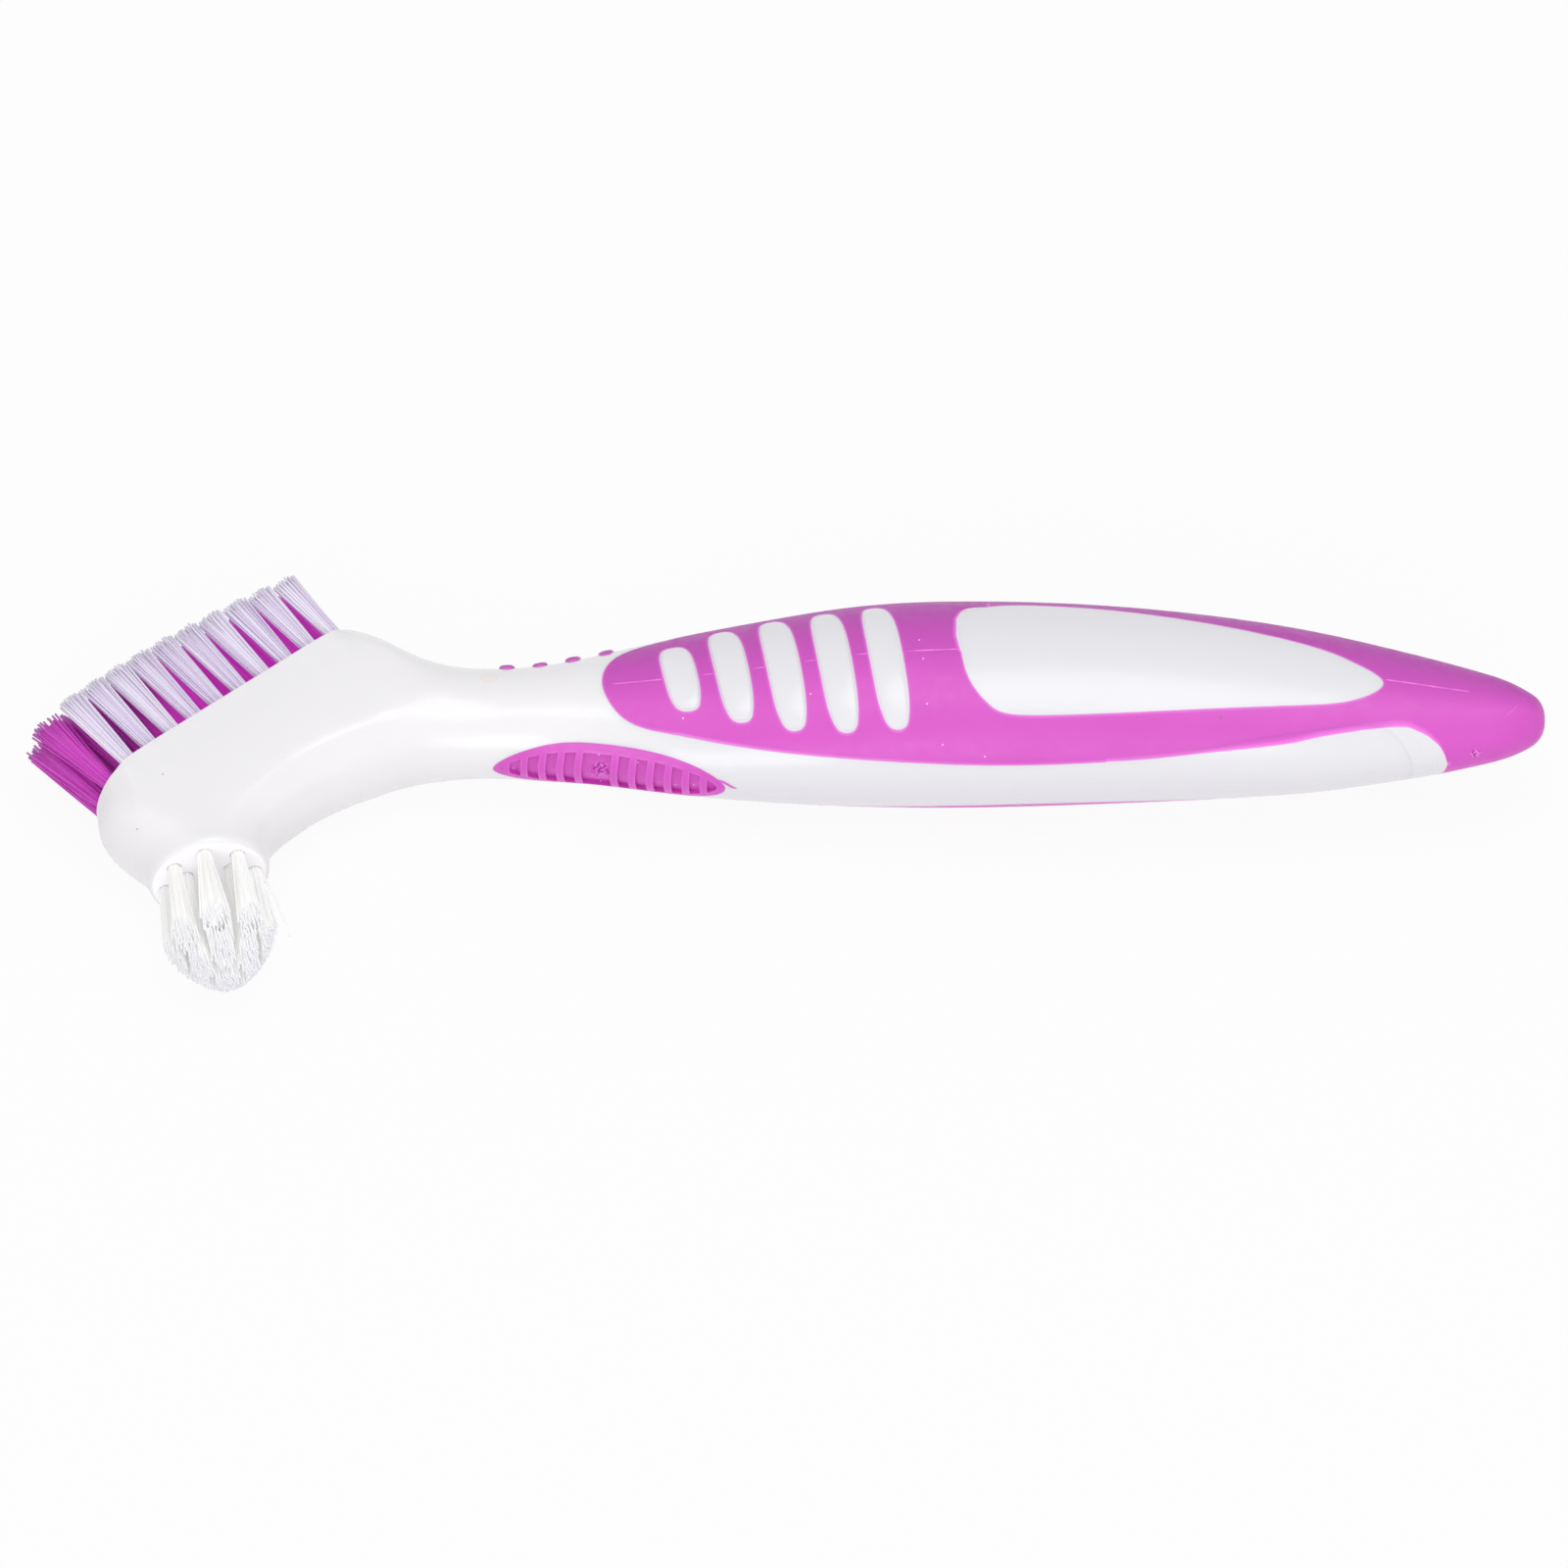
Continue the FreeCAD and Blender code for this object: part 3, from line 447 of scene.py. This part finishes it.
def glossy_plastic(photo, core):
    """White polypropylene: smooth, a little cloudy, with the faint waves of a mould's polish."""
    shader = Shader("white_plastic", WHITE_PLASTIC, 0.22)
    body = shader.mix(shader.cloud(30), (*WHITE_PLASTIC, 1), (*WHITE_SHADE, 1))
    handle = shader.ramp(shader.along((1, 0, 0)), *HANDLE_START)
    body = shader.mix(handle, body, (*WHITE_HANDLE, 1))
    outside, zone = shader.borders()
    # painted glow along the plastic's sharp edges, left off where a painted border is near
    edge = shader.math("MULTIPLY", shader.edge(PLASTIC_EDGE), shader.math("SUBTRACT", 1.0, zone))
    body = shader.mix(edge, body, (*WHITE_EDGE_GLOW, 1))
    radius = NECK_GATE_RADIUS * MM
    gate = shader.near(photo.hit(core, NECK_GATE)[0])
    inside = shader.ramp(gate, radius, GATE_SHARE * radius)
    from_rim = shader.math("ABSOLUTE", shader.math("SUBTRACT", gate, GATE_SHARE * radius))
    rim = shader.ramp(from_rim, GATE_RIM, 0, 0.4, 1)
    body = shader.mix(shader.math("MULTIPLY", inside, rim), body, (*CREAM, 1))
    dirt = shader.spots(photo.points(core, CORE_DIRT), CORE_DIRT_RADIUS * MM)
    body = shader.mix(shader.math("MULTIPLY", dirt, CORE_DIRT_SHARE), body, (*DIRT, 1))
    # the rubber's colour painted on the core beyond the strip, with a painted glow near the border
    rubber = shader.mix(shader.ramp(outside, BORDER_GLOW, 0.0), (*PURPLE_RUBBER, 1), (*PURPLE_EDGE_GLOW_AND_CHIPS, 1))
    covered = shader.math("MULTIPLY", zone, shader.ramp(outside, 0.0, BORDER_BLUR))
    shader.feed("Base Color", shader.mix(covered, body, rubber))
    # painted glow: the plastic emits a little light on the small brush's face, near its middle
    face = shader.ramp(shader.facing(LYING @ SMALL_FACE_NORMAL), 0.8, 0.97, 0.0, COLLAR_PAINTED_GLOW)
    collar = shader.ramp(shader.near(place(SMALL_FACE_CENTRE)), *COLLAR_REACH)
    shader.surface.inputs["Emission Color"].default_value = (*WHITE_PLASTIC, 1)
    shader.feed("Emission Strength", shader.math("MULTIPLY", collar, face))
    shader.surface.inputs["Subsurface Weight"].default_value = 0.25
    shader.surface.inputs["Subsurface Radius"].default_value = (1, 0.9, 0.95)
    shader.surface.inputs["Subsurface Scale"].default_value = 1.2 * MM
    gloss = shader.cloud(60, 0.21, 0.25)
    shader.feed("Roughness", shader.math("MULTIPLY_ADD", covered, GLOSS_STEP, gloss))
    step = shader.ramp(gate, radius, GATE_TOP * radius, 0, 0.6)
    shader.bump(shader.math("MULTIPLY_ADD", shader.noise(45, 0.0), 0.6, step), 0.25, 0.1 * MM)
    return shader.material


def soft_rubber(name, top, dust, dirt, gate, gate_radius, edge_glow):
    """Purple rubber: satin, a little see-through, with a painted glow along its edges and at painted
    borders.
    """
    shader = Shader(name, PURPLE_RUBBER, 0.45)
    body = shader.mix(shader.cloud(120), (*PURPLE_RUBBER, 1), (*PURPLE_CLOUD, 1))
    # painted shade: darker towards faces turned to the large brush's side
    front = shader.ramp(shader.facing(LYING @ Vector((0, 0, 1))), -0.25, 0.85)
    body = shader.mix(front, body, (*top, 1))
    outside, zone = shader.borders()
    # painted glow along the rubber's sharp edges and at the painted borders
    edge = shader.math("MULTIPLY", shader.edge(RUBBER_EDGE), shader.math("SUBTRACT", edge_glow, zone))
    edge = shader.math("MULTIPLY_ADD", zone, shader.ramp(outside, BORDER_GLOW, 0.0), edge)
    body = shader.mix(edge, body, (*PURPLE_EDGE_GLOW_AND_CHIPS, 1))
    rough = shader.ramp(shader.near(gate), gate_radius * MM, SOFT_SHARE * gate_radius * MM)
    chips = shader.ramp(shader.noise(3600, 4), 0.45, 0.56)
    mark = shader.mix(chips, (*PURPLE_EDGE_GLOW_AND_CHIPS, 1), (*PURPLE_MARK, 1))
    body = shader.mix(shader.math("MULTIPLY", rough, TORN_SHARE), body, mark)
    body = shader.mix(shader.spots(dust, DUST_RADIUS * MM), body, (*DUST, 1))
    specks = shader.math("MULTIPLY", shader.spots(dirt, GRIP_DIRT_RADIUS * MM), GRIP_DIRT_SHARE)
    body = shader.mix(specks, body, (*DIRT, 1))
    bare = shader.math("MULTIPLY", zone, shader.ramp(outside, BORDER_BLUR, 0.0))
    shader.feed("Base Color", shader.mix(bare, body, (*WHITE_HANDLE, 1)))
    shader.feed("Subsurface Weight", shader.ramp(bare, 0.0, 1.0, 0.3, 0.0))
    shader.surface.inputs["Subsurface Radius"].default_value = (1, 0.35, 0.9)
    shader.surface.inputs["Subsurface Scale"].default_value = 0.8 * MM
    satin = shader.cloud(900, 0.36, 0.5, detail=4)
    shader.feed("Roughness", shader.math("MULTIPLY_ADD", bare, -GLOSS_STEP, satin))
    grain = shader.math("MULTIPLY", shader.noise(2600, 3), 0.2)
    shader.bump(shader.math("MULTIPLY_ADD", rough, chips, grain), 0.5, 0.08 * MM)
    return shader.material


def nylon(name, base, shade, tip, glow):
    """Nylon filaments: each of its own shade, duller at its cut end, and with a painted glow (emission) that
    lifts their shade.
    """
    shader = Shader(name, base, 0.35)
    share = shader.node("Attribute", attribute_name="share").outputs["Fac"]
    tint = shader.node("Attribute", attribute_name="tint").outputs["Fac"]
    body = shader.mix(tint, (*base, 1), (*shade, 1))
    factor = shader.math("ADD", shader.ramp(share, CUT_END, 1.0), shader.cloud(1500, -0.1, 0.1))
    body = shader.mix(shader.ramp(factor, 0.0, 1.0), body, (*tip, 1))
    shader.feed("Base Color", body)
    # painted glow: the filaments emit their own colour, weaker at the toe
    shader.feed("Emission Color", body)
    shader.feed("Emission Strength", shader.ramp(shader.along((1, 0, 0)), *TOE_REACH, TOE_GLOW, glow))
    shader.feed("Roughness", shader.cloud(3000, 0.28, 0.45))
    return shader.material


def flash_rubber():
    """Thin rubber, painted lighter than the grip: a painted glow and highlight on the flash and the
    scratch's burr.
    """
    shader = Shader("purple_flash_glow", PURPLE_EDGE_GLOW_AND_CHIPS, 0.4)
    shader.feed("Base Color", shader.mix(shader.cloud(600), (*PURPLE_EDGE_GLOW_AND_CHIPS, 1), (*PURPLE_RUBBER, 1)))
    return shader.material


def bright_metal():
    shader = Shader("anchor_brass", BRASS, 0.3)
    shader.surface.inputs["Metallic"].default_value = 1
    shader.feed("Roughness", shader.cloud(800, 0.25, 0.4))
    return shader.material


# Filaments

def add_piece(name, points, faces, material):
    data = bpy.data.meshes.new(name)
    data.from_pydata(points, [], faces)
    data.shade_smooth()
    data.materials.append(material)
    piece = bpy.data.objects.new(name, data)
    bpy.context.scene.collection.objects.link(piece)
    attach(piece, "root")
    return piece


class Brush:
    """Mesh of many filaments under construction, with each corner's share of the length and tint."""

    def __init__(self, seed):
        self.points = []
        self.faces = []
        self.shares = []
        self.tints = []
        self.chance = random.Random(seed)

    def tube(self, spine, radius):
        """Adds one thin round filament with a domed end."""
        first = len(self.points)
        tint = self.chance.random() ** TINT_POWER
        direction = (spine[-1] - spine[0]).normalized()
        across = direction.orthogonal().normalized()
        over = direction.cross(across)
        for step, point in enumerate(spine):
            for i in range(FILAMENT_SIDES):
                angle = 2 * math.pi * i / FILAMENT_SIDES
                self.points.append(point + (across * math.cos(angle) + over * math.sin(angle)) * radius)
                self.shares.append(step / (len(spine) - 1))
                self.tints.append(tint)
        self.skin(first, FILAMENT_SIDES, len(spine))
        self.points.append(spine[-1] + direction * radius * DOME)
        self.shares.append(1.0)
        self.tints.append(tint)
        last = first + (len(spine) - 1) * FILAMENT_SIDES
        for i in range(FILAMENT_SIDES):
            self.faces.append((last + i, last + (i + 1) % FILAMENT_SIDES, len(self.points) - 1))

    def skin(self, first, sides, rings):
        """Adds the faces between rings of corners."""
        for ring in range(rings - 1):
            low = first + ring * sides
            high = low + sides
            for i in range(sides):
                following = (i + 1) % sides
                self.faces.append((low + i, low + following, high + following, high + i))

    def filament(self, root, normal, end, bow):
        spine = [root - normal * ROOT_DEPTH]
        for step in range(FILAMENT_STEPS):
            share = step / (FILAMENT_STEPS - 1)
            spine.append(root.lerp(end, share) + bow * math.sin(math.pi * share))
        self.tube(spine, FILAMENT_RADIUS)

    def bundle(self, foot, normal, along, hole_radius, tip, tip_along, tip_over, jitter):
        """One tuft: filaments from their hole to a spread tip, a little bent and unevenly cut."""
        over = normal.cross(along)
        reach = hole_radius - FILAMENT_RADIUS
        chance = self.chance
        self.heart(foot, (along * reach, over * reach), tip, (tip_along, tip_over))
        for first, second in even_spots(FILAMENTS_IN_TUFT):
            root = foot + along * first * reach + over * second * reach
            wander = along * chance.gauss(0, jitter) + over * chance.gauss(0, jitter)
            end = (tip + tip_along * first * TIP_INSET + tip_over * second * TIP_INSET + wander
                   - normal * abs(chance.gauss(0, jitter * CUT_JITTER)))
            bow = along * chance.gauss(0, jitter * BOW_JITTER) + over * chance.gauss(0, jitter * BOW_JITTER)
            self.filament(root, normal, end, bow)

    def heart(self, foot, foot_axes, tip, tip_axes):
        """Packed inner filaments of a tuft as one body, so that light doesn't pass through it."""
        first = len(self.points)
        for share in HEART_SHARES:
            centre = foot.lerp(tip, share)
            axes = [low.lerp(high, share) * HEART_FILL for low, high in zip(foot_axes, tip_axes)]
            for i in range(HEART_SIDES):
                angle = 2 * math.pi * i / HEART_SIDES
                outward = axes[0] * math.cos(angle) + axes[1] * math.sin(angle)
                self.points.append(centre + outward * HEART_FLUTES[i % 2])
                self.shares.append(share)
                # painted shade in the heart's grooves
                self.tints.append(HEART_TINT_AND_GROOVE_SHADE[i % 2])
        self.skin(first, HEART_SIDES, len(HEART_SHARES))
        self.faces.append(tuple(range(len(self.points) - HEART_SIDES, len(self.points))))

    def finish(self, name, material, node):
        piece = add_piece(name, [place(point) for point in self.points], self.faces, material)
        for attribute, values in (("share", self.shares), ("tint", self.tints)):
            piece.data.attributes.new(attribute, "FLOAT", "POINT").data.foreach_set("value", values)
        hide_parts(node)


def even_spots(count):
    """Evenly spread spots in a round of radius 1."""
    turn = math.pi * (3 - math.sqrt(5))
    spots = []
    for i in range(count):
        reach = math.sqrt((i + 0.5) / count)
        spots.append((reach * math.cos(turn * i), reach * math.sin(turn * i)))
    return spots


def large_row(brush, side, count, first, toe_side, tip_size, over_toe):
    """One row of the large brush. The first tuft of a row may lean and spread out over the toe."""
    over = FACE_NORMAL.cross(FACE_ALONG)
    pitch = (FACE_LENGTH - HEEL_INSET - first) / (count - 1)
    for i in range(count):
        from_toe = first + pitch * i
        at_toe = over_toe and i == 0
        side_place = toe_side if i == 0 else side
        foot = TOE + FACE_ALONG * from_toe + over * side_place
        offset = (from_toe - LONGEST_PLACE) / (FACE_LENGTH - HEEL_INSET - LONGEST_PLACE)
        height = LARGE_TRIM - HEEL_SHORTENING * offset ** 2
        splay = TOE_SPLAY if at_toe and side_place > 0 else SPLAY
        tip = foot + FACE_NORMAL * height + over * side_place * splay
        if at_toe:
            tip += FACE_NORMAL * TOE_GROWTH - FACE_ALONG * TOE_LEAN
        half_along, half_over = TOE_TIP_SIZE if at_toe else tip_size
        brush.bundle(foot, FACE_NORMAL, FACE_ALONG, LARGE_HOLE_RADIUS, tip, FACE_ALONG * half_along,
                     over * half_over, TOE_JITTER if at_toe else JITTER)


def small_ring(brush, radius, count, first_angle, half_outward, half_round):
    """One ring of the small brush, cut to a dome."""
    side = Vector((0, 1, 0))
    ahead = side.cross(SMALL_FACE_NORMAL)
    share = radius / OUTER_RING_RADIUS
    height = SMALL_TRIM_CENTRE - (SMALL_TRIM_CENTRE - SMALL_TRIM_EDGE) * share ** 2
    slope = 2 * (SMALL_TRIM_CENTRE - SMALL_TRIM_EDGE) * share / OUTER_RING_RADIUS
    for i in range(count):
        angle = math.radians(first_angle + 360 * i / count)
        outward = ahead * math.cos(angle) + side * math.sin(angle)
        foot = SMALL_FACE_CENTRE + outward * radius
        tip = foot + SMALL_FACE_NORMAL * height + SMALL_LEAN * height + outward * SMALL_SPREAD * share
        tip_outward = (outward - SMALL_FACE_NORMAL * slope) * half_outward
        tip_round = SMALL_FACE_NORMAL.cross(outward) * half_round
        brush.bundle(foot, SMALL_FACE_NORMAL, outward, SMALL_HOLE_RADIUS, tip, tip_outward, tip_round,
                     JITTER)
        if radius == OUTER_RING_RADIUS and i == STRAY_TUFT:
            brush.filament(foot + outward * STRAY_ROOT, SMALL_FACE_NORMAL, tip + outward * STRAY_REACH,
                           outward * STRAY_BOW)


def filaments():
    """Both brushes: each row or ring is a piece with a seed of its own."""
    white = nylon("white_nylon", WHITE_NYLON, WHITE_NYLON_SHADE, WHITE_NYLON_TIP, WHITE_GLOW)
    purple = nylon("purple_nylon", PURPLE_NYLON, PURPLE_NYLON_SHADE, PURPLE_NYLON_TIP, PURPLE_GLOW)
    small = nylon("white_nylon_small", SMALL_NYLON, SMALL_NYLON_SHADE, SMALL_NYLON_TIP, SMALL_GLOW)
    rows = [(*row, WHITE_TIP_SIZE, False, white, "white_bristle") for row in WHITE_ROWS]
    rows += [(*row, PURPLE_TIP_SIZE, True, purple, "purple_bristle") for row in PURPLE_ROWS]
    for seed, (node, *measures, material, slot) in enumerate(rows):
        brush = Brush(seed)
        large_row(brush, *measures)
        brush.finish(node.replace("tufts", "filaments"), material, node)
    for seed, (node, *measures) in enumerate(RINGS, len(rows)):
        brush = Brush(seed)
        small_ring(brush, *measures)
        brush.finish(node.replace("tuft", "filament"), small, node)


# Moulding marks

def ridge(points, faces, path, half_width, height):
    """Adds a low rounded ridge along a path of (point, outward direction) on a surface."""
    first = len(points)
    last = len(path) - 1
    for i, (point, outward) in enumerate(path):
        ahead = path[min(i + 1, last)][0] - path[max(i - 1, 0)][0]
        across = ahead.cross(outward).normalized()
        full = RIDGE_END if i in (0, last) else 1
        for side, lift in RIDGE_SECTION:
            aside = across * half_width * side * full * MM
            points.append(point + aside + outward * height * lift * full * MM)
    row = len(RIDGE_SECTION)
    for i in range(last):
        for j in range(row - 1):
            corner = first + row * i + j
            faces.append((corner, corner + 1, corner + row + 1, corner + row))


def raised_line(name, paths, size, material):
    """Piece of low ridges of one size (half width, height) on the rubber."""
    points = []
    faces = []
    for path in paths:
        ridge(points, faces, path, *size)
    add_piece(name, points, faces, material)


def parting_height(x):
    """Height of the grip's widest line at x."""
    for low, high in zip(PARTING_LINE, PARTING_LINE[1:]):
        if x <= high[0]:
            return low[1] + (high[1] - low[1]) * (x - low[0]) / (high[0] - low[0])


def parting_paths(grip, side):
    """Grip's widest line on one side, in pieces between the windows and ribs."""
    outward = LYING @ Vector((0, side, 0))
    paths = [[]]
    x = PARTING_LINE[0][0]
    while x <= PARTING_LINE[-1][0]:
        start = place(Vector((x, 0, parting_height(x)))) + outward * PARTING_CAST * MM
        point, normal, _, distance = grip.ray_cast(start, -outward)
        reach = TAIL_REACH if x > TAIL_START else PARTING_REACH
        if point is not None and normal.dot(outward) > PARTING_FACING and distance < reach * MM:
            paths[-1].append((point, normal))
        else:
            paths.append([])
        x += PARTING_STEP
    return [path for path in paths if len(path) > 2]


def dress_nodes(photo):
    """Gives the solids their materials, and returns the grip's."""
    core = surface_of("handle_core")
    grip = surface_of("soft_grip")
    pad = surface_of("thumb_pad")
    plastic = glossy_plastic(photo, core)
    rubber = soft_rubber("purple_rubber", PURPLE_PAINTED_SHADE, photo.points(grip, GRIP_DUST),
                         photo.points(grip, GRIP_DIRT), photo.hit(grip, TAIL_GATE)[0], TAIL_GATE_RADIUS,
                         GRIP_EDGE_GLOW)
    # on the pad the painted shade is only its cloud colour
    pad_rubber = soft_rubber("purple_rubber_pad", PURPLE_CLOUD, photo.points(pad, PAD_DUST), [],
                             photo.hit(pad, PAD_GATE)[0], PAD_GATE_RADIUS, PAD_EDGE_GLOW)
    materials = {"handle_core": plastic, "thumb_pad": pad_rubber, "soft_grip": rubber, "neck_ridge": rubber,
                 "anchors": bright_metal()}
    for name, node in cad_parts.items():
        for start, material in materials.items():
            if name.startswith(start):
                node.data.materials.clear()
                node.data.materials.append(material)
    return rubber


def moulding_marks(photo, rubber):
    """Flash along the grip, rubber that ran out at the pad's end, and the burr of a scratch at the tail."""
    neck = surface_of("handle_core", "thumb_pad")
    grip = surface_of("soft_grip")
    # the flash and the scratch's burr are painted lighter, a painted highlight on their small ridges
    flash = flash_rubber()
    raised_line("parting_flash_near", parting_paths(grip, -1), PARTING_SIZE, flash)
    raised_line("parting_flash_far", parting_paths(grip, 1), PARTING_SIZE, flash)
    raised_line("pad_flash", [[photo.hit(neck, pixel) for pixel in PAD_FLASH]], PAD_FLASH_SIZE, rubber)
    raised_line("tail_scratch", [[photo.hit(grip, pixel) for pixel in SCRATCH]], SCRATCH_SIZE, flash)


# Stage and light

FLOOR_SIZE = 3.0                # half of its side
FLOOR_GREY = 0.82
FLOOR_WHITE = 0.93              # share of plain white over its own colour
AMBIENT = 0.66                  # light from all sides
TOP_LIGHT = Vector((0.15, -0.1, 1.15))      # from the middle of the brush, in metres
TOP_SIZE = (0.7, 0.7)
TOP_POWER = 3.6
FRONT_LIGHT = Vector((-0.2, -1.05, 0.42))
FRONT_SIZE = (0.8, 0.5)
FRONT_POWER = 3.3


def softbox(name, aim, offset, size, power):
    lamp = bpy.data.lights.new(name, "AREA")
    lamp.shape = "RECTANGLE"
    lamp.size, lamp.size_y = size
    lamp.energy = power
    lit = bpy.data.objects.new(name, lamp)
    bpy.context.scene.collection.objects.link(lit)
    lit.location = aim + offset
    lit.rotation_mode = "QUATERNION"
    lit.rotation_quaternion = (-offset).to_track_quat("-Z", "Y")


def seen_as_white(tree, share):
    """A share for rays from the camera and those it sees mirrored or through glass, 0 for all others."""
    path = tree.nodes.new("ShaderNodeLightPath")
    seen = path.outputs["Is Camera Ray"]
    for kind in ("Is Glossy Ray", "Is Transmission Ray"):
        either = tree.nodes.new("ShaderNodeMath")
        either.operation = "MAXIMUM"
        tree.links.new(seen, either.inputs[0])
        tree.links.new(path.outputs[kind], either.inputs[1])
        seen = either.outputs[0]
    part = tree.nodes.new("ShaderNodeMath")
    part.operation = "MULTIPLY"
    tree.links.new(seen, part.inputs[0])
    part.inputs[1].default_value = share
    return part.outputs[0]


def make_floor():
    """White floor that still shows a faint shadow."""
    corners = ((-1, -1), (1, -1), (1, 1), (-1, 1))
    data = bpy.data.meshes.new("floor")
    data.from_pydata([(x * FLOOR_SIZE, y * FLOOR_SIZE, 0) for x, y in corners], [], [(0, 1, 2, 3)])
    floor = bpy.data.objects.new("floor", data)
    bpy.context.scene.collection.objects.link(floor)
    material = bpy.data.materials.new("floor")
    material.use_nodes = True
    tree = material.node_tree
    plain = tree.nodes["Principled BSDF"]
    plain.inputs["Base Color"].default_value = (FLOOR_GREY, FLOOR_GREY, FLOOR_GREY, 1)
    plain.inputs["Roughness"].default_value = 0.9
    plain.inputs["Specular IOR Level"].default_value = 0.1
    glow = tree.nodes.new("ShaderNodeEmission")
    glow.inputs["Strength"].default_value = 1
    blend = tree.nodes.new("ShaderNodeMixShader")
    tree.links.new(seen_as_white(tree, FLOOR_WHITE), blend.inputs[0])
    tree.links.new(plain.outputs[0], blend.inputs[1])
    tree.links.new(glow.outputs[0], blend.inputs[2])
    tree.links.new(blend.outputs[0], tree.nodes["Material Output"].inputs["Surface"])
    data.materials.append(material)


def make_world():
    """World that is white to see and gives a softer light from all sides."""
    world = bpy.data.worlds.new("studio")
    bpy.context.scene.world = world
    world.use_nodes = True
    tree = world.node_tree
    background = tree.nodes["Background"]
    background.inputs["Color"].default_value = (1, 1, 1, 1)
    strength = tree.nodes.new("ShaderNodeMapRange")
    strength.inputs["To Min"].default_value = AMBIENT
    strength.inputs["To Max"].default_value = 1
    tree.links.new(seen_as_white(tree, 1), strength.inputs["Value"])
    tree.links.new(strength.outputs[0], background.inputs["Strength"])


def make_lights():
    middle = (cad_low + cad_high) / 2
    softbox("top_light", middle, TOP_LIGHT, TOP_SIZE, TOP_POWER)
    softbox("front_light", middle, FRONT_LIGHT, FRONT_SIZE, FRONT_POWER)


bpy.context.scene.view_settings.view_transform = "Standard"
photo = Photo()
make_camera(photo)
rubber = dress_nodes(photo)
moulding_marks(photo, rubber)
filaments()
make_floor()
make_world()
make_lights()
